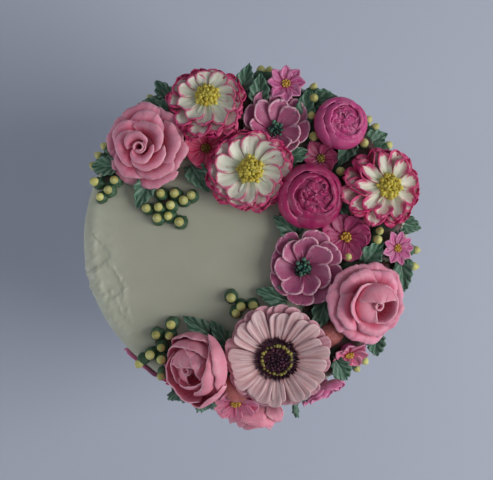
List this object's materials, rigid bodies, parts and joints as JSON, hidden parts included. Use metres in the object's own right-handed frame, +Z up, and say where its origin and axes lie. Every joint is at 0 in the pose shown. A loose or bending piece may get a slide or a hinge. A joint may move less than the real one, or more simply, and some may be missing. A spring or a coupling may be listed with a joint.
{
  "type": "decorated layer cake on a pedestal stand",
  "caption": "Round tall buttercream cake with a crescent of piped flowers, leaves and buds over its rim, on a plain pedestal stand.",
  "frame": {"origin": "centre of the stand's foot, on the table", "axes": "+Z up; -Y is the side where flowers run down over the edge; +X to the right of that side"},
  "size_m": [0.206, 0.2147, 0.2148],
  "materials": {
    "ceramic": "gloss",
    "icing": "satin buttercream",
    "rose_pink": "satin buttercream",
    "petal_white": "satin buttercream",
    "mauve": "satin buttercream",
    "magenta": "satin buttercream",
    "daisy_blush": "satin buttercream",
    "blossom_pink": "satin buttercream",
    "salmon": "satin buttercream",
    "leaf_green": "satin buttercream"
  },
  "bodies": {
    "root": {"stand": "ceramic", "rose_left": "rose_pink", "dahlia_top": "petal_white", "dahlia_mid": "petal_white", "rose_right": "rose_pink", "dahlia_right": "petal_white", "daisy": "daisy_blush", "rose_low": "rose_pink", "ranunculus_mid": "magenta", "ranunculus_right": "magenta", "anemone_low": "mauve", "anemone_top": "mauve", "blossom_top": "blossom_pink", "blossom_arch": "blossom_pink", "blossom_mid": "blossom_pink", "blossom_edge": "blossom_pink", "blossom_under": "blossom_pink", "blossom_corner": "blossom_pink", "side_rose": "rose_pink", "side_dahlia": "petal_white", "side_ruffle_left": "blossom_pink", "side_ruffle_right": "blossom_pink", "side_blossom": "blossom_pink", "mound_front": "salmon", "mound_corner": "salmon", "cake": "icing", "leaf_01": "leaf_green", "leaf_02": "leaf_green", "leaf_03": "leaf_green", "leaf_04": "leaf_green", "leaf_05": "leaf_green", "leaf_06": "leaf_green", "leaf_07": "leaf_green", "leaf_08": "leaf_green", "leaf_09": "leaf_green", "leaf_10": "leaf_green", "leaf_11": "leaf_green", "leaf_12": "leaf_green", "leaf_13": "leaf_green", "leaf_14": "leaf_green", "leaf_15": "leaf_green", "leaf_16": "leaf_green", "leaf_17": "leaf_green", "leaf_18": "leaf_green", "leaf_19": "leaf_green", "leaf_20": "leaf_green", "leaf_21": "leaf_green", "leaf_22": "leaf_green", "leaf_23": "leaf_green", "leaf_24": "leaf_green", "leaf_25": "leaf_green", "leaf_26": "leaf_green", "leaf_27": "leaf_green"}
  },
  "joints": []
}
